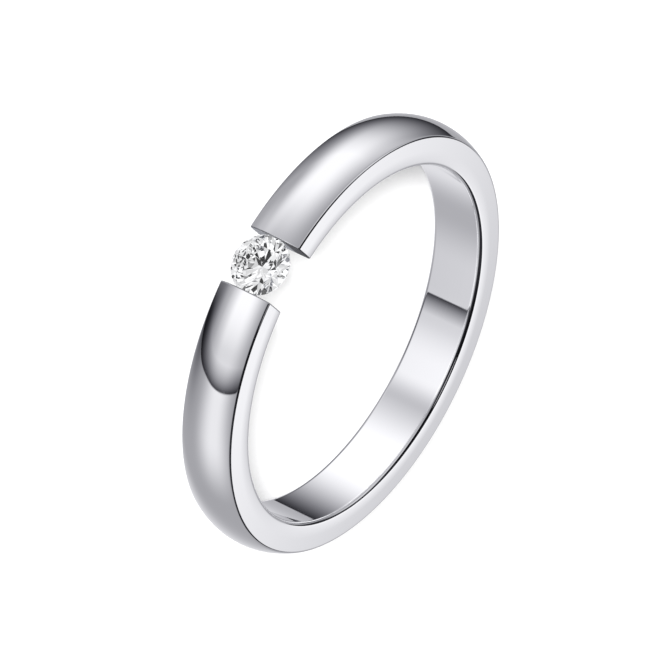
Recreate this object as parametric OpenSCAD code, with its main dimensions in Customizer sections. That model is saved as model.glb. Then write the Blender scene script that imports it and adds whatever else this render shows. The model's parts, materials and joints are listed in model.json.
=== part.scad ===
// Wedding ring: one domed band, cut open at the front, whose two ends grip a round brilliant.
// The ring lies on its side. The finger's axis is +Z, the stone is at the front, towards -Y,
// and Z = 0 is the surface that the ring rests on.

/* [Band] */
// Diameter of the finger hole
finger_d = 17.3; // [15:0.1:21]
// Width of the band along the finger
band_w = 2.7; // [2.5:0.05:2.8]
// Thickness of the band at its two flat sides
side_t = 1.45; // [1.4:0.05:2]
// Rise of the domed outer face above its edges
crown = 0.37; // [0.34:0.01:0.5]
// Radius of the rounded edges of the finger hole
inner_round = 0.2; // [0.1:0.05:0.3]
// Width of the fine bevel where the dome meets a side
edge_bevel = 0.05; // [0.02:0.01:0.1]
// Opening between the two ends that grip the stone
gap_w = 2.67; // [2.6:0.01:2.72]

/* [Stone] */
// Diameter of the stone at its girdle
stone_d = 2.8; // [2.78:0.01:2.84]
// Width of the table from corner to corner, as a share of the diameter
table_share = 0.57; // [0.53:0.01:0.62]
// Height of the girdle, as a share of the diameter
girdle_share = 0.03; // [0.025:0.005:0.04]
// Slope of the eight large crown facets, in degrees
crown_slope = 34.5; // [33:0.5:36]
// Slope of the eight large pavilion facets, in degrees
pavilion_slope = 40.8; // [40:0.2:41.4]
// How far the star facets reach from the table's edge towards the girdle
star_share = 0.5; // [0.4:0.05:0.6]
// How far the lower girdle facets reach from the girdle towards the point
lower_share = 0.77; // [0.7:0.01:0.85]
// Depth of the table below the highest line of the dome
table_inset = 0.06; // [0:0.01:0.06]
// Clearance between the stone and its seats in the two ends
seat_gap = 0.03; // [0.02:0.01:0.04]
// Turn of the stone about its own axis, in degrees
stone_turn = 22.5; // [0:2.5:45]

/* [Hidden] */

// The cut stone has eight large facets above its girdle and eight below
FACETS = 8;
STEP = 360 / FACETS;
// How far a cutting shape reaches past what it cuts
OVERCUT = 1;

finger_r = finger_d / 2;
crest_r = finger_r + side_t + crown;
dome_r = (pow(band_w / 2, 2) + pow(crown, 2)) / (2 * crown);
// Angle at which the dome rises from the plane of a flat side
edge_slope = acos(band_w / 2 / dome_r);

stone_r = stone_d / 2;
girdle_h = stone_d * girdle_share;
table_r = stone_r * table_share;
crown_h = (stone_r - table_r) * tan(crown_slope);
pavilion_h = stone_r * tan(pavilion_slope);
girdle_at = crest_r - table_inset - crown_h - girdle_h / 2;

// The stone may be wider than the band, and then carries the front of it
mid_z = max(band_w, stone_d) / 2;

// What is cut from one edge of the section: x runs out from the finger hole, y in from a side
module edge_cutter() {
    difference() {
        translate([-OVERCUT, -OVERCUT]) square(inner_round + OVERCUT);
        translate([inner_round, inner_round]) circle(inner_round, $fn = 64);
    }
    translate([side_t - edge_bevel, 0]) rotate(edge_slope / 2 - 90) square(OVERCUT);
}

// Section of the band: x is the distance from the finger hole, y the place along the finger
module band_section() {
    difference() {
        intersection() {
            translate([0, -band_w / 2]) square([side_t + crown + OVERCUT, band_w]);
            translate([side_t + crown - dome_r, 0]) circle(dome_r, $fn = 360);
        }
        for (side = [0, 1])
            mirror([0, side]) translate([0, -band_w / 2]) edge_cutter();
    }
}

// The stone's outline turned about its axis and grown by the clearance: it cuts both seats
module seat_cutter() {
    reach = stone_r + seat_gap;
    half_h = girdle_h / 2 + seat_gap;
    rotate_extrude($fn = 180)
        polygon([
            [0, half_h + reach * tan(crown_slope)],
            [reach, half_h],
            [reach, -half_h],
            [0, -half_h - reach * tan(pavilion_slope)]
        ]);
}

// Lays the stone's axis on the line from the ring's centre to its front, table outwards
module at_front() {
    translate([0, -girdle_at, mid_z]) rotate([90, 0, 0]) children();
}

module band() {
    color("gainsboro")
        difference() {
            translate([0, 0, mid_z])
                rotate_extrude($fn = 360) translate([finger_r, 0]) band_section();
            translate([-gap_w / 2, -crest_r - OVERCUT, -OVERCUT])
                cube([gap_w, crest_r, 2 * (mid_z + OVERCUT)]);
            at_front() seat_cutter();
        }
}

// A corner of the cut stone, whose axis is +Z: turn counts in steps of one large facet
function corner(r, turn, z) = [r * cos(turn * STEP), r * sin(turn * STEP), z];

// Side corners of the large facets, on the crown and on the pavilion
star_r = let (edge = table_r * cos(STEP / 2)) edge + star_share * (stone_r - edge);
star_z = girdle_h / 2 + (stone_r - star_r * cos(STEP / 2)) * tan(crown_slope);
lower_r = (1 - lower_share) * stone_r;
lower_z = -girdle_h / 2 - (stone_r - lower_r * cos(STEP / 2)) * tan(pavilion_slope);

// How far the girdle facets that meet at the side corner (r, z) dip into the girdle midway
function dip(r, z) =
    let (slope = (abs(z) - girdle_h / 2) / ((stone_r - r) * cos(STEP / 4)))
    slope * stone_r * (1 - cos(STEP / 4));

// The girdle's corners on one side, four to a large facet, every second one dipped
function girdle_ring(side, depth) = [
    for (j = [0:4 * FACETS - 1])
        corner(stone_r, j / 4, side * (girdle_h / 2 - (j % 2) * depth))
];

stone_corners = [
    each [for (i = [0:FACETS - 1]) corner(table_r, i, girdle_h / 2 + crown_h)],
    each [for (i = [0:FACETS - 1]) corner(star_r, i + 0.5, star_z)],
    each girdle_ring(1, dip(star_r, star_z)),
    each girdle_ring(-1, dip(lower_r, lower_z)),
    each [for (i = [0:FACETS - 1]) corner(lower_r, i + 0.5, lower_z)],
    [0, 0, -girdle_h / 2 - pavilion_h]
];

// Each corner's number in the list above
function table_n(i) = i % FACETS;
function star_n(i) = FACETS + i % FACETS;
function upper_n(j) = 2 * FACETS + j % (4 * FACETS);
function under_n(j) = 6 * FACETS + j % (4 * FACETS);
function lower_n(i) = 10 * FACETS + i % FACETS;
culet_n = 11 * FACETS;

// The facets, each clockwise from outside: the table, then the crown, girdle and pavilion
stone_facets = [
    [for (i = [FACETS - 1:-1:0]) table_n(i)],
    for (i = [0:FACETS - 1]) each [
        [table_n(i), table_n(i + 1), star_n(i)],
        [table_n(i), star_n(i), upper_n(4 * i), star_n(i + FACETS - 1)],
        for (j = [4 * i, 4 * i + 2]) [star_n(i), upper_n(j + 2), upper_n(j + 1), upper_n(j)]
    ],
    for (j = [0:4 * FACETS - 1]) [upper_n(j), upper_n(j + 1), under_n(j + 1), under_n(j)],
    for (i = [0:FACETS - 1]) each [
        [culet_n, lower_n(i + FACETS - 1), under_n(4 * i), lower_n(i)],
        for (j = [4 * i, 4 * i + 2]) [lower_n(i), under_n(j), under_n(j + 1), under_n(j + 2)]
    ]
];

module stone() {
    color("azure")
        at_front() rotate(stone_turn) polyhedron(stone_corners, stone_facets);
}

band();
stone();
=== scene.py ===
"""Looks of a wedding ring: a polished domed band that grips a round brilliant between its two ends.

The ring lies on its side on a pale floor. Everything is in metres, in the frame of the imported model.
"""

import json
import math
from collections import namedtuple

import bmesh
import bpy
from mathutils import Matrix, Vector


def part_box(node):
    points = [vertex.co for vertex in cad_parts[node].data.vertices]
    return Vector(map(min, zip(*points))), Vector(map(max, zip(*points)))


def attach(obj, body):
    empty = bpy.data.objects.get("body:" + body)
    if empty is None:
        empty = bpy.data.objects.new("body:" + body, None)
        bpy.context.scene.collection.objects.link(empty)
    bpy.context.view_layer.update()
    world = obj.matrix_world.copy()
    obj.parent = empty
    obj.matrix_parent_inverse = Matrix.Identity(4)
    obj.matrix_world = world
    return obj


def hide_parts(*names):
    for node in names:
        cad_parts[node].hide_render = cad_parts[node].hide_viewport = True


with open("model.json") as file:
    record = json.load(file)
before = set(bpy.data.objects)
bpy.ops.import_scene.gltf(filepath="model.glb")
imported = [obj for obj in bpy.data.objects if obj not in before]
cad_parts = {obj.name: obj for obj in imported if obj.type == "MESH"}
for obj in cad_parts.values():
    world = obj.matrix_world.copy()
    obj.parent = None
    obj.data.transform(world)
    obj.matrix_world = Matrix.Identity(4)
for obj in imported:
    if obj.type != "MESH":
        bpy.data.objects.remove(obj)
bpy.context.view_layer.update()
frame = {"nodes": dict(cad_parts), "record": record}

MM = 0.001
QUARTER = math.pi / 2

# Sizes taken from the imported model
band_low, band_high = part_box("band")
stone_low, stone_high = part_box("stone")
mounts = {mount["name"]: mount for mount in frame["record"]["mounts"]}
FINGER_R = mounts["finger_hole"]["dims"]["r_mm"] * MM
CREST_R = band_high.x
HALF_W = (band_high.z - band_low.z) / 2
MID_Z = (band_high.z + band_low.z) / 2
STONE_R = (stone_high.x - stone_low.x) / 2
CULET_Y = stone_high.y

# Sizes that the solids also have
CROWN = 0.37 * MM
INNER_ROUND = 0.2 * MM
HALF_GAP = 1.335 * MM
SEAT_GAP = 0.03 * MM
GIRDLE_H = 0.084 * MM
CROWN_SLOPE = math.radians(34.5)
PAVILION_SLOPE = math.radians(40.8)

# Polish: how far the edges between dome and sides and the edges of the end faces are rounded
SIDE_ROUND = 0.13 * MM
END_ROUND = 0.06 * MM

# The sides fall off very slightly towards the finger hole: from how far out, and with what radius
FALL_FROM = 0.75 * MM
FALL_R = 10 * MM

# Distance of the extra loops that keep flat faces flat in the shading
SUPPORT = 0.012 * MM

# Angle from which an edge between two faces is shaded sharp
SHARP_FROM = math.radians(20)

# Fineness of the band's mesh
DOME_STEPS = 24
SIDE_ROUND_STEPS = 8
FALL_STEPS = 8
INNER_ROUND_STEPS = 14
END_ROUND_STEPS = 6
SWEEP_STEPS = 360
SEAT_STEPS = 192


# Meshes

def add_object(name, bm):
    """Turns a bmesh into a smooth-shaded object of the scene."""
    mesh = bpy.data.meshes.new(name)
    bm.to_mesh(mesh)
    bm.free()
    mesh.shade_smooth()
    obj = bpy.data.objects.new(name, mesh)
    bpy.context.scene.collection.objects.link(obj)
    return obj


def arc(centre_r, centre_z, radius, start, end, steps):
    """Points of an arc of the section, each with its normal; angles from the radial direction."""
    points = []
    for i in range(steps + 1):
        turn = start + (end - start) * i / steps
        normal_r = math.cos(turn)
        normal_z = math.sin(turn)
        points.append((centre_r + radius * normal_r, centre_z + radius * normal_z, normal_r, normal_z))
    return points


def band_section():
    """The band's section, once round: radius, height above the middle, and the outward normal."""
    dome_r = (HALF_W ** 2 + CROWN ** 2) / (2 * CROWN)
    dome_centre = CREST_R - dome_r
    round_z = HALF_W - SIDE_ROUND
    round_reach = dome_r - SIDE_ROUND
    round_centre = dome_centre + math.sqrt(round_reach ** 2 - round_z ** 2)
    round_start = math.asin(round_z / round_reach)
    fall_r = FINGER_R + FALL_FROM
    fall_z = HALF_W - FALL_R
    inner_centre = FINGER_R + INNER_ROUND
    inner_reach = FALL_R - INNER_ROUND
    fall_angle = math.asin((fall_r - inner_centre) / inner_reach)
    fall_end = QUARTER + fall_angle
    inner_z = fall_z + inner_reach * math.cos(fall_angle)
    half = arc(dome_centre, 0, dome_r, 0, round_start, DOME_STEPS)
    half += arc(round_centre, round_z, SIDE_ROUND, round_start, QUARTER, SIDE_ROUND_STEPS)[1:]
    half.append((round_centre - SUPPORT, HALF_W, 0, 1))
    half += arc(fall_r, fall_z, FALL_R, QUARTER, fall_end, FALL_STEPS)
    half += arc(inner_centre, inner_z, INNER_ROUND, fall_end, 2 * QUARTER, INNER_ROUND_STEPS)[1:]
    half.append((FINGER_R, inner_z - SUPPORT, -1, 0))
    other = [(r, -z, normal_r, -normal_z) for r, z, normal_r, normal_z in reversed(half[1:])]
    return half + other


def band_row(section, inset, x_at):
    """One ring of points at an end: the section shrunk by inset, on the plane x = x_at."""
    row = []
    for r, z, normal_r, normal_z in section:
        r_in = r - inset * normal_r
        row.append((x_at, -math.sqrt(r_in ** 2 - x_at ** 2), MID_Z + z - inset * normal_z))
    return row


def end_rows(section, side):
    """The rows of one end, from the middle of its flat face to where the full section starts."""
    rows = [band_row(section, END_ROUND + SUPPORT, side * HALF_GAP)]
    for i in range(END_ROUND_STEPS + 1):
        turn = QUARTER * (1 - i / END_ROUND_STEPS)
        inset = END_ROUND * (1 - math.cos(turn))
        x_at = side * (HALF_GAP + END_ROUND * (1 - math.sin(turn)))
        rows.append(band_row(section, inset, x_at))
    return rows


def sweep_rows(section):
    """The rows round the finger, between the rounded ends."""
    start_x = HALF_GAP + END_ROUND + SUPPORT
    rows = []
    for i in range(SWEEP_STEPS + 1):
        row = []
        for r, z, _, _ in section:
            start = math.asin(start_x / r)
            turn = start + (2 * math.pi - 2 * start) * i / SWEEP_STEPS
            row.append((r * math.sin(turn), -r * math.cos(turn), MID_Z + z))
        rows.append(row)
    return rows


def make_band():
    """The band as one closed mesh, before its seats are cut."""
    section = band_section()
    rows = end_rows(section, 1) + sweep_rows(section) + end_rows(section, -1)[::-1]
    bm = bmesh.new()
    rings = [[bm.verts.new(point) for point in row] for row in rows]
    count = len(section)
    for low, high in zip(rings, rings[1:]):
        for i in range(count):
            j = (i + 1) % count
            bm.faces.new((low[i], low[j], high[j], high[i]))
    bm.faces.new(rings[0][::-1])
    bm.faces.new(rings[-1])
    bmesh.ops.recalc_face_normals(bm, faces=bm.faces)
    return add_object("band_polished", bm)


def make_seat_cutter():
    """The stone's outline turned about its axis and grown by the clearance, like the solids' seats."""
    reach = STONE_R + SEAT_GAP
    half_h = GIRDLE_H / 2 + SEAT_GAP
    girdle_y = CULET_Y - STONE_R * math.tan(PAVILION_SLOPE) - GIRDLE_H / 2
    bm = bmesh.new()
    front = bm.verts.new((0, girdle_y - half_h - reach * math.tan(CROWN_SLOPE), MID_Z))
    back = bm.verts.new((0, girdle_y + half_h + reach * math.tan(PAVILION_SLOPE), MID_Z))
    rings = []
    for y in (girdle_y - half_h, girdle_y + half_h):
        ring = []
        for i in range(SEAT_STEPS):
            turn = 2 * math.pi * i / SEAT_STEPS
            ring.append(bm.verts.new((reach * math.cos(turn), y, MID_Z + reach * math.sin(turn))))
        rings.append(ring)
    for i in range(SEAT_STEPS):
        j = (i + 1) % SEAT_STEPS
        bm.faces.new((front, rings[0][i], rings[0][j]))
        bm.faces.new((rings[0][i], rings[1][i], rings[1][j], rings[0][j]))
        bm.faces.new((back, rings[1][j], rings[1][i]))
    bmesh.ops.recalc_face_normals(bm, faces=bm.faces)
    return add_object("seat_cutter", bm)


def cut_seats(band):
    """Cuts the seats into both ends, and marks the edges that stay sharp."""
    cutter = make_seat_cutter()
    cut = band.modifiers.new("seats", "BOOLEAN")
    cut.operation = "DIFFERENCE"
    cut.solver = "MANIFOLD"
    cut.object = cutter
    depsgraph = bpy.context.evaluated_depsgraph_get()
    mesh = bpy.data.meshes.new_from_object(band.evaluated_get(depsgraph))
    band.modifiers.clear()
    band.data = mesh
    mesh.name = band.name
    mesh.set_sharp_from_angle(angle=SHARP_FROM)
    bpy.data.objects.remove(cutter)


# Node trees

# A ramp goes smoothly from low, where its number is start, to high, where it is end
Ramp = namedtuple("Ramp", "start end low high", defaults=(0.0, 1.0))


def new_material(name):
    """A material with an empty node tree, and that tree."""
    material = bpy.data.materials.new(name)
    material.use_nodes = True
    material.node_tree.nodes.clear()
    return material, material.node_tree


def feed(tree, socket, value):
    """Links a socket to an output, or sets it to a number or colour."""
    if isinstance(value, bpy.types.NodeSocket):
        tree.links.new(value, socket)
    else:
        socket.default_value = value


def feed_all(tree, node, inputs):
    """Links or sets a node's inputs by their names, and gives the node back."""
    for name, value in inputs.items():
        feed(tree, node.inputs[name], value)
    return node


def add_node(tree, kind, inputs):
    """Adds a node of that kind, with its inputs linked or set."""
    return feed_all(tree, tree.nodes.new(kind), inputs)


def show(tree, shader):
    """Makes a shader node the surface of its material."""
    add_node(tree, "ShaderNodeOutputMaterial", {"Surface": shader.outputs[0]})


def place_on(tree):
    """The place of a point, in its object's own coordinates."""
    return tree.nodes.new("ShaderNodeTexCoord").outputs["Object"]


def math_node(tree, operation, *values):
    """A Math node of that operation; the values are outputs or numbers."""
    node = tree.nodes.new("ShaderNodeMath")
    node.operation = operation
    for socket, value in zip(node.inputs, values):
        feed(tree, socket, value)
    return node.outputs[0]


def fade(tree, value, start, end, low=0.0, high=1.0):
    """Goes smoothly from low, where value is start, to high, where it is end."""
    node = tree.nodes.new("ShaderNodeMapRange")
    node.interpolation_type = "SMOOTHSTEP"
    limits = {"Value": value, "From Min": start, "From Max": end, "To Min": low, "To Max": high}
    return feed_all(tree, node, limits).outputs["Result"]


def blend(tree, share, first, second):
    """Goes from the first number to the second as share goes from 0 to 1."""
    more = math_node(tree, "SUBTRACT", second, first)
    return math_node(tree, "MULTIPLY_ADD", share, more, first)


def noise(tree, place, scale, detail):
    """Noise about 0.5; a larger scale makes it finer."""
    inputs = {"Vector": place, "Scale": scale, "Detail": detail}
    return add_node(tree, "ShaderNodeTexNoise", inputs).outputs["Fac"]


def split(tree, vector):
    """The three coordinates of a vector."""
    x, y, z = add_node(tree, "ShaderNodeSeparateXYZ", {"Vector": vector}).outputs
    return x, y, z


def length(tree, x, y):
    """How far the point x, y is from the origin."""
    squares = [math_node(tree, "MULTIPLY", side, side) for side in (x, y)]
    return math_node(tree, "SQRT", math_node(tree, "ADD", *squares))


def directions(tree, vector):
    """Azimuth from -Y towards +X and elevation of a vector, in degrees."""
    x, y, z = split(tree, vector)
    front = math_node(tree, "MULTIPLY", y, -1.0)
    azimuth = math_node(tree, "DEGREES", math_node(tree, "ARCTAN2", x, front))
    elevation = math_node(tree, "DEGREES", math_node(tree, "ARCTAN2", z, length(tree, x, y)))
    return azimuth, elevation


def direction_vector(azimuth, elevation):
    """Unit vector of a direction given in degrees."""
    turn = math.radians(azimuth)
    up = math.radians(elevation)
    return Vector((math.sin(turn) * math.cos(up), -math.cos(turn) * math.cos(up), math.sin(up)))


def turn_from(tree, azimuth, middle):
    """Signed angle from middle to azimuth, in degrees."""
    return math_node(tree, "WRAP", math_node(tree, "SUBTRACT", azimuth, middle), 180.0, -180.0)


# The studio, a round tent of light that the polished metal mirrors

# Directions in it are in degrees: azimuth is 0 at the front and 90 at +X, elevation goes up from level.
# The lights, cards and shade began as a least-squares fit of a few such areas to the reflections in the
# photograph. They were rounded, and then changed.

TENT_R = 107 * MM
TENT_SEGMENTS = 96
TENT_RINGS = 48

# The tent between its lights, by elevation
BASE_LIGHT = Ramp(start=0, end=31, low=0.43, high=0.40)

# A span is where a light starts, where it is full from and to, and where it ends
Span = namedtuple("Span", "start full_from full_to end")
SoftLight = namedtuple("SoftLight", "azimuth elevation level")
SOFT_LIGHTS = (
    SoftLight(Span(-141, -85, -56, -4), Span(-51, -25, -14, 28), 0.73),
    SoftLight(Span(-70, -30, -20, 5), Span(-72, -50, -42, -24), 0.18),
    SoftLight(Span(-16, 3, 12, 61), Span(-45, -19, -2, 32), 0.73),
    SoftLight(Span(-16, 3, 14, 54), Span(-64, -46, -40, -27), 0.14),
    SoftLight(Span(34, 56, 80, 118), Span(-43, -9, -4, 25), 0.52),
    SoftLight(Span(124, 168, 180, 225), Span(-110, -60, -28, 0), 0.32),
    SoftLight(Span(164, 173, 201, 210), Span(17, 35, 50, 62), 0.75),
)

# A dark card is darkest at its sharp edge and fades out on one side of it, by a signed width. Low down
# the edge leans over by some degrees of azimuth, and the fade widens by more. The card thins out
# upwards between two elevations.
DarkCard = namedtuple("DarkCard", "edge lean fade depth thins_from thins_to")
DARK_CARDS = (
    DarkCard(-136.4, 0, 61, 0.96, -2, 20),
    DarkCard(54.9, 9, -13, 0.98, 35, 50),
)
CARD_EDGE = 1.0
CARD_LEANS_FROM = -30
CARD_LEANS_TO = -85
CARD_WIDENS = 2.7

# The shade low down at the front right: how far it reaches to each side, and between which elevations
# it grows to its full depth
SHADE_AZIMUTH = 44
SHADE_REACH = 80
SHADE_FROM = -36
SHADE_FULL = -72
SHADE_DEPTH = 0.93

# The dark canopy: from which elevation it starts all round, at the back, where the ring's flat side
# looks, and beside the back
CANOPY_FROM = 31
CANOPY_FROM_BACK = 38
CANOPY_FROM_BESIDE = 20
# How many degrees its lower edge takes to get dark
CANOPY_EDGE = 2
# Its own faint light, by elevation
CANOPY_LIGHT = Ramp(start=55, end=65, low=0.03, high=0.005)
# The middle of the back, how far the back and what is beside it reach from there, and how softly
# they end
BACK_AZIMUTH = 187
BACK_REACH = 10
BACK_FADE = 6
BESIDE_REACH = 45
BESIDE_FADE = 25
# The window in it at the front left
CANOPY_WINDOW = SoftLight(Span(-135, -108, -50, 15), Span(20, 31, 46, 60), 0.75)

# The round lamp straight above, by elevation
TOP_LAMP = Ramp(start=82.6, end=82.9, low=0.0, high=0.55)

# The tent's light is a little cool, and cooler where it is dark
COOLNESS = 1.03
COOLER_POWER = 0.96


def span_share(tree, value, span):
    """Goes smoothly from 0 to 1 and back as value runs through a span."""
    rise = fade(tree, value, span.start, span.full_from)
    fall = fade(tree, value, span.end, span.full_to)
    return math_node(tree, "MULTIPLY", rise, fall)


def light_share(tree, azimuth, elevation, light):
    """1 where a soft light is full, 0 outside it."""
    middle = (light.azimuth.full_from + light.azimuth.full_to) / 2
    turn = turn_from(tree, azimuth, middle)
    wide = span_share(tree, turn, Span(*(edge - middle for edge in light.azimuth)))
    return math_node(tree, "MULTIPLY", wide, span_share(tree, elevation, light.elevation))


def dark_card(tree, azimuth, elevation, card):
    """What a dark card leaves of the light: least behind its sharp edge, all of it past its fade."""
    lean = fade(tree, elevation, CARD_LEANS_FROM, CARD_LEANS_TO, 0.0, card.lean)
    past = math_node(tree, "SUBTRACT", turn_from(tree, azimuth, card.edge), lean)
    behind = math_node(tree, "MULTIPLY", past, math.copysign(1, card.fade))
    sharp = fade(tree, behind, -CARD_EDGE / 2, CARD_EDGE / 2)
    width = math_node(tree, "MULTIPLY_ADD", lean, CARD_WIDENS, abs(card.fade))
    left = math_node(tree, "SUBTRACT", 1.0, math_node(tree, "DIVIDE", behind, width))
    soft = math_node(tree, "MINIMUM", math_node(tree, "MAXIMUM", left, 0.0), 1.0)
    depth = fade(tree, elevation, card.thins_from, card.thins_to, -card.depth, 0.0)
    return math_node(tree, "MULTIPLY_ADD", math_node(tree, "MULTIPLY", sharp, soft), depth, 1.0)


def low_shade(tree, azimuth, elevation):
    """What the low shade leaves of the light."""
    off = math_node(tree, "ABSOLUTE", turn_from(tree, azimuth, SHADE_AZIMUTH))
    wide = fade(tree, off, SHADE_REACH, 0)
    shade = math_node(tree, "MULTIPLY", wide, fade(tree, elevation, SHADE_FROM, SHADE_FULL))
    return math_node(tree, "MULTIPLY_ADD", shade, -SHADE_DEPTH, 1.0)


def canopy_start(tree, azimuth):
    """The elevation from which the canopy starts, by azimuth."""
    off = math_node(tree, "ABSOLUTE", turn_from(tree, azimuth, BACK_AZIMUTH))
    beside = fade(tree, off, BESIDE_REACH + BESIDE_FADE, BESIDE_REACH, CANOPY_FROM, CANOPY_FROM_BESIDE)
    return fade(tree, off, BACK_REACH + BACK_FADE, BACK_REACH, beside, CANOPY_FROM_BACK)


def under_canopy(tree, azimuth, elevation, level):
    """The tent's light with the dark canopy over it, and the round lamp above."""
    past = math_node(tree, "SUBTRACT", elevation, canopy_start(tree, azimuth))
    canopy = fade(tree, elevation, *CANOPY_LIGHT)
    window = light_share(tree, azimuth, elevation, CANOPY_WINDOW)
    canopy = math_node(tree, "MULTIPLY_ADD", window, CANOPY_WINDOW.level, canopy)
    lamp = fade(tree, elevation, *TOP_LAMP)
    return blend(tree, fade(tree, past, 0, CANOPY_EDGE), level, math_node(tree, "ADD", canopy, lamp))


def tent_level(tree, azimuth, elevation):
    """Brightness of the tent by direction."""
    level = fade(tree, elevation, *BASE_LIGHT)
    for light in SOFT_LIGHTS:
        share = light_share(tree, azimuth, elevation, light)
        level = math_node(tree, "MULTIPLY_ADD", share, light.level, level)
    for card in DARK_CARDS:
        level = math_node(tree, "MULTIPLY", level, dark_card(tree, azimuth, elevation, card))
    level = math_node(tree, "MULTIPLY", level, low_shade(tree, azimuth, elevation))
    return under_canopy(tree, azimuth, elevation, level)


def tent_colour(tree, place):
    """Colour of the tent by direction: its brightness, cooler where it is dark."""
    level = tent_level(tree, *directions(tree, place))
    blue = math_node(tree, "MULTIPLY", math_node(tree, "POWER", level, COOLER_POWER), COOLNESS)
    inputs = {"Red": level, "Green": level, "Blue": blue}
    return add_node(tree, "ShaderNodeCombineColor", inputs).outputs["Color"]


def emission_material(name, colour):
    """A material that only glows, in a colour that the given function works out by nodes."""
    material, tree = new_material(name)
    show(tree, add_node(tree, "ShaderNodeEmission", {"Color": colour(tree, place_on(tree))}))
    material.cycles.emission_sampling = "NONE"
    return material


def add_tent(name, material):
    """A round tent about the ring that camera, floor and shadows don't see."""
    bm = bmesh.new()
    bmesh.ops.create_uvsphere(bm, u_segments=TENT_SEGMENTS, v_segments=TENT_RINGS, radius=TENT_R)
    tent = add_object(name, bm)
    tent.location = (0, 0, MID_Z)
    tent.data.materials.append(material)
    tent.visible_camera = False
    tent.visible_diffuse = False
    tent.visible_shadow = False
    return tent


def make_tent():
    """The tent that the metal and the stone's faces mirror."""
    tent = add_tent("tent", emission_material("tent_light", tent_colour))
    tent.visible_transmission = False


# What is seen through the stone: a tent of light and pale grey panels, with round dark cards

PANELS_SCALE = 90
# The panels' brightness by their random numbers
PANEL_LIGHT = Ramp(start=0.0, end=1.0, low=0.68, high=1.18)
# How many degrees a round card's edge takes to get dark
ROUND_CARD_EDGE = 1.0

# The cards were placed where traced light from the photograph's dark facets leaves the stone
RoundCard = namedtuple("RoundCard", "azimuth elevation radius level")
ROUND_CARDS = (
    RoundCard(7, -5, 4, 0.02),
    RoundCard(14, 20, 5, 0.04),
    RoundCard(30, 3, 6, 0.04),
    RoundCard(35, 12, 3, 0.04),
    RoundCard(4, 5, 2, 0.02),
    RoundCard(18, -12, 6, 0.05),
    RoundCard(-10, 17, 3, 0.04),
    RoundCard(-36, -14, 4, 0.03),
    RoundCard(-31, 27, 3, 0.03),
    RoundCard(-28, 38, 4, 0.05),
    RoundCard(-11, 36, 3, 0.03),
    RoundCard(-175, 20, 8, 0.12),
    RoundCard(10, 48, 4, 0.15),
    RoundCard(53, -1, 4, 0.05),
    RoundCard(-57, 39, 5, 0.05),
    RoundCard(-12, -1, 2, 0.10),
    RoundCard(30, -58, 7, 0.12),
    RoundCard(-35, 45, 5, 0.12),
    RoundCard(-2, 28, 3, 0.08),
    RoundCard(-1, 10, 2, 0.08),
    RoundCard(-168, 39, 5, 0.10),
    RoundCard(50, 42, 3, 0.20),
    RoundCard(12, 0, 2, 0.10),
    RoundCard(22, 33, 2, 0.30),
)


def round_card(tree, direction, card, level):
    """The tent's level with one round dark card hung in it."""
    dot = tree.nodes.new("ShaderNodeVectorMath")
    dot.operation = "DOT_PRODUCT"
    feed(tree, dot.inputs[0], direction)
    feed(tree, dot.inputs[1], direction_vector(card.azimuth, card.elevation))
    outside = math.cos(math.radians(card.radius + ROUND_CARD_EDGE / 2))
    inside = math.cos(math.radians(card.radius - ROUND_CARD_EDGE / 2))
    return blend(tree, fade(tree, dot.outputs["Value"], outside, inside), level, card.level)


def stone_tent_colour(tree, place):
    """Colour of the tent that light leaving the stone comes from."""
    inputs = {"Vector": place, "Scale": PANELS_SCALE}
    panels = add_node(tree, "ShaderNodeTexVoronoi", inputs).outputs["Color"]
    numbers = add_node(tree, "ShaderNodeSeparateColor", {"Color": panels}).outputs
    level = fade(tree, numbers["Red"], *PANEL_LIGHT)
    direction = tree.nodes.new("ShaderNodeVectorMath")
    direction.operation = "NORMALIZE"
    feed(tree, direction.inputs[0], place)
    for card in ROUND_CARDS:
        level = round_card(tree, direction.outputs["Vector"], card, level)
    return level


def make_stone_tent():
    """The tent that shows through the stone."""
    tent = add_tent("stone_tent", emission_material("stone_tent_light", stone_tent_colour))
    tent.visible_glossy = False


# Floor and room light

FLOOR_SIZE = 2.0
FLOOR_COLOUR = (0.93, 0.93, 0.93, 1)
ROOM_COLOUR = (1, 1, 1, 1)
ROOM_LIGHT = 1.0

# The lamp at the front: its direction and how large it looks, in degrees, and its strength
KEY_AZIMUTH = 5
KEY_ELEVATION = 20
KEY_SIZE = 16
KEY_LIGHT = 8.0


def make_floor():
    """A plain pale floor that the ring lies on; the metal mirrors the tent, and not the floor."""
    bm = bmesh.new()
    bmesh.ops.create_grid(bm, x_segments=1, y_segments=1, size=FLOOR_SIZE / 2)
    floor = add_object("floor", bm)
    material, tree = new_material("floor_paint")
    show(tree, add_node(tree, "ShaderNodeBsdfDiffuse", {"Color": FLOOR_COLOUR}))
    floor.data.materials.append(material)
    floor.visible_glossy = False
    floor.visible_transmission = False


def make_room_light():
    """Even white light from all round."""
    world = bpy.data.worlds.new("room")
    world.use_nodes = True
    background = world.node_tree.nodes["Background"]
    feed_all(world.node_tree, background, {"Color": ROOM_COLOUR, "Strength": ROOM_LIGHT})
    bpy.context.scene.world = world


def make_key_lamp():
    """A large soft lamp low down at the front, which only lights the floor."""
    data = bpy.data.lights.new("key_lamp", "SUN")
    data.energy = KEY_LIGHT
    data.angle = math.radians(KEY_SIZE)
    lamp = bpy.data.objects.new("key_lamp", data)
    lamp.rotation_euler = (QUARTER - math.radians(KEY_ELEVATION), 0, math.radians(KEY_AZIMUTH))
    lamp.visible_glossy = False
    lamp.visible_transmission = False
    bpy.context.scene.collection.objects.link(lamp)


# Finishes, with painted light in the bore and painted shade on the ground metal

# Painted light: the bore gets a copy of the polish that is set brighter than the outside, to match the
# photograph
OUTSIDE_COLOUR = (0.86, 0.86, 0.865, 1)
BORE_PAINTED_BRIGHTER_COLOUR = (0.985, 0.985, 0.99, 1)

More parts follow.
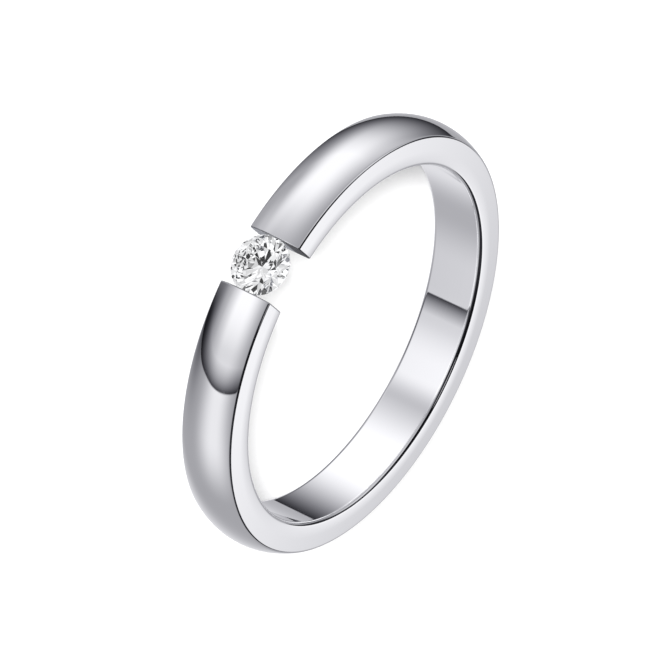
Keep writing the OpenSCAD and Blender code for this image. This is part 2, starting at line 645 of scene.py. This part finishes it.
# The hairlines: their spacing across the band, how far they run round it, how deep they are, how
# strongly that shows, how fine their noise is, and the roughness that the clearest of them add
HAIRLINE_GAP = 0.09 * MM
HAIRLINE_LENGTH = 4 * MM
HAIRLINE_DEPTH = 0.002 * MM
HAIRLINE_BUMP = 0.12
HAIRLINE_DETAIL = 3.0
HAIRLINE_ROUGHNESS = Ramp(start=0.62, end=0.8, low=0.0, high=0.06)

# Slight smears all over the polish, and the roughness that they give it
SMEAR_SCALE = 900.0
SMEAR_DETAIL = 4.0
SMEAR_ROUGHNESS = Ramp(start=0.35, end=0.7, low=0.025, high=0.055)

# The ground metal of the end faces and seats: its colour, made darker than the polish's as painted
# shade, its grain, and the roughness that the grain gives it
GROUND_AND_PAINTED_SHADE_COLOUR = (0.60, 0.61, 0.63, 1)
GRAIN_SCALE = 9000.0
GRAIN_DETAIL = 2.0
GRAIN_ROUGHNESS = Ramp(start=0.3, end=0.7, low=0.22, high=0.34)

# How far the seats reach from the middle of the band
SEAT_HALF_W = 0.65 * MM

# Painted shade on the ground metal, to match the photograph: darker by the depth in a seat together
# with the distance from the middle of the band, and darker with the height towards the upper side
PAINTED_SHADE_COLOUR = (0.24, 0.24, 0.25, 1)
SEAT_PAINTED_SHADE_DEPTH = Ramp(start=0.004 * MM, end=0.02 * MM)
SEAT_PAINTED_SHADE_REACH = Ramp(start=SEAT_HALF_W, end=0.5 * MM)
UPPER_PAINTED_SHADE = Ramp(start=1.8 * MM, end=2.1 * MM)

# Numbers of the band's materials: the polish outside, its copy with painted light in the bore, and the
# ground metal with painted shade
OUTSIDE = 0
BORE = 1
WORKED = 2

# How squarely a face must look into the gap to belong to an end face or a seat, and how squarely it
# must look at the finger to belong to the bore
FACES_GAP_MIN = 0.45
# Near the seats the rounded edges of the ends also take the ground metal, and with it a line of painted
# shade
FACES_GAP_MIN_AT_SEAT = 0.1
FACES_FINGER_MIN = 0.9

# The stone: its tint, its refraction, and the share of the usual reflection that its faces show
STONE_COLOUR = (0.985, 0.99, 1.0, 1)
STONE_IOR = 2.17
STONE_MIRROR_TINT = (0.15, 0.15, 0.15, 1)


def hairlines(tree, place):
    """Fine noise drawn out round the finger, as polishing and wear leave it."""
    x, y, z = split(tree, place)
    angle = math_node(tree, "ARCTAN2", x, y)
    along = math_node(tree, "MULTIPLY", angle, FINGER_R / HAIRLINE_LENGTH)
    outwards = math_node(tree, "DIVIDE", length(tree, x, y), HAIRLINE_GAP)
    across = math_node(tree, "DIVIDE", z, HAIRLINE_GAP)
    stretched = add_node(tree, "ShaderNodeCombineXYZ", {"X": along, "Y": outwards, "Z": across})
    return noise(tree, stretched.outputs["Vector"], scale=1.0, detail=HAIRLINE_DETAIL)


def polished_metal(name, colour):
    """Mirror polished white metal with faint hairlines round the finger and slight smears."""
    material, tree = new_material(name)
    place = place_on(tree)
    lines = hairlines(tree, place)
    smeared = fade(tree, noise(tree, place, SMEAR_SCALE, SMEAR_DETAIL), *SMEAR_ROUGHNESS)
    scratched = fade(tree, lines, *HAIRLINE_ROUGHNESS)
    relief = {"Height": lines, "Strength": HAIRLINE_BUMP, "Distance": HAIRLINE_DEPTH}
    bump = add_node(tree, "ShaderNodeBump", relief)
    show(tree, add_node(tree, "ShaderNodeBsdfPrincipled", {
        "Base Color": colour,
        "Metallic": 1.0,
        "Roughness": math_node(tree, "ADD", smeared, scratched),
        "Normal": bump.outputs["Normal"],
    }))
    return material


def painted_ground_shade(tree, place):
    """How much painted shade the ground metal gets, from 0 to 1: most in the seats and at the upper
    side.
    """
    x, _, z = split(tree, place)
    depth = math_node(tree, "SUBTRACT", math_node(tree, "ABSOLUTE", x), HALF_GAP)
    off_middle = math_node(tree, "ABSOLUTE", math_node(tree, "SUBTRACT", z, MID_Z))
    deep = fade(tree, depth, *SEAT_PAINTED_SHADE_DEPTH)
    near = fade(tree, off_middle, *SEAT_PAINTED_SHADE_REACH)
    upper = fade(tree, z, *UPPER_PAINTED_SHADE)
    return math_node(tree, "MAXIMUM", math_node(tree, "MULTIPLY", deep, near), upper)


def worked_metal_painted_shade():
    """The same metal as it is left on the end faces and in the seats: finely ground, with painted shade
    in the seats and at the upper side, in both its colour and the tint of its reflection.
    """
    material, tree = new_material("worked_metal_painted_shade")
    place = place_on(tree)
    mix = tree.nodes.new("ShaderNodeMix")
    mix.data_type = "RGBA"
    tones = {"Factor": painted_ground_shade(tree, place), "A": GROUND_AND_PAINTED_SHADE_COLOUR, "B": PAINTED_SHADE_COLOUR}
    colour = feed_all(tree, mix, tones).outputs["Result"]
    rough = fade(tree, noise(tree, place, GRAIN_SCALE, GRAIN_DETAIL), *GRAIN_ROUGHNESS)
    show(tree, add_node(tree, "ShaderNodeBsdfPrincipled", {
        "Base Color": colour,
        "Specular Tint": colour,
        "Metallic": 1.0,
        "Roughness": rough,
    }))
    return material


def clear_stone():
    """Clear colourless cut stone of high refraction."""
    material, tree = new_material("clear_stone")
    show(tree, add_node(tree, "ShaderNodeBsdfPrincipled", {
        "Base Color": STONE_COLOUR,
        "Transmission Weight": 1.0,
        "IOR": STONE_IOR,
        "Specular Tint": STONE_MIRROR_TINT,
        "Roughness": 0.0,
    }))
    return material


def finish_number(face):
    """The number of a face's material: the polish outside, its brighter painted copy in the bore,
    or the ground metal with painted shade on the ends and in the seats.
    """
    at_gap = face.center.y < 0 and abs(face.center.x) < STONE_R + SEAT_GAP
    at_seat = abs(face.center.z - MID_Z) < SEAT_HALF_W
    faces_gap = -math.copysign(1, face.center.x) * face.normal.x
    if at_gap and faces_gap > (FACES_GAP_MIN_AT_SEAT if at_seat else FACES_GAP_MIN):
        return WORKED
    outwards = Vector((face.center.x, face.center.y, 0)).normalized()
    return BORE if face.normal.dot(outwards) < -FACES_FINGER_MIN else OUTSIDE


# Camera, fitted to the ring's edges in the photograph; its angles are in degrees

CAMERA_AIM = Vector((0.0217, -0.4223, 0.5954)) * MM
CAMERA_DISTANCE = 358.989 * MM
CAMERA_AZIMUTH = 6.838
CAMERA_ELEVATION = 27.659
CAMERA_ROLL = 115.354
CAMERA_LENS = 443.077
CAMERA_SENSOR = 36
CAMERA_SEES_FROM = 10 * MM
CAMERA_SEES_TO = 10

MAX_BOUNCES = 24
GLOSSY_BOUNCES = 16
TRANSMISSION_BOUNCES = 24


def make_camera():
    """Looks down at the ring and is rolled, so that the ring stands in the picture as photographed."""
    data = bpy.data.cameras.new("camera")
    data.sensor_width = CAMERA_SENSOR
    data.lens = CAMERA_LENS
    data.clip_start = CAMERA_SEES_FROM
    data.clip_end = CAMERA_SEES_TO
    camera = bpy.data.objects.new("camera", data)
    bpy.context.scene.collection.objects.link(camera)
    back = direction_vector(CAMERA_AZIMUTH, CAMERA_ELEVATION)
    upright = (-back).to_track_quat("-Z", "Y").to_matrix().to_4x4()
    roll = Matrix.Rotation(math.radians(CAMERA_ROLL), 4, "Z")
    camera.matrix_world = Matrix.Translation(CAMERA_AIM + back * CAMERA_DISTANCE) @ upright @ roll
    bpy.context.scene.camera = camera


def set_colours():
    """Plain colour rendering, and enough bounces for light inside the stone."""
    scene = bpy.context.scene
    scene.view_settings.view_transform = "Standard"
    scene.cycles.max_bounces = MAX_BOUNCES
    scene.cycles.glossy_bounces = GLOSSY_BOUNCES
    scene.cycles.transmission_bounces = TRANSMISSION_BOUNCES


make_camera()
set_colours()
make_room_light()
make_key_lamp()
make_floor()
make_tent()
make_stone_tent()

band = make_band()
cut_seats(band)
band.data.materials.clear()
band.data.materials.append(polished_metal("polished_metal", OUTSIDE_COLOUR))
band.data.materials.append(polished_metal("bore_painted_brighter", BORE_PAINTED_BRIGHTER_COLOUR))
band.data.materials.append(worked_metal_painted_shade())
for face in band.data.polygons:
    face.material_index = finish_number(face)
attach(band, "root")
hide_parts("band")

stone = frame["nodes"]["stone"]
stone.data.materials.clear()
stone.data.materials.append(clear_stone())
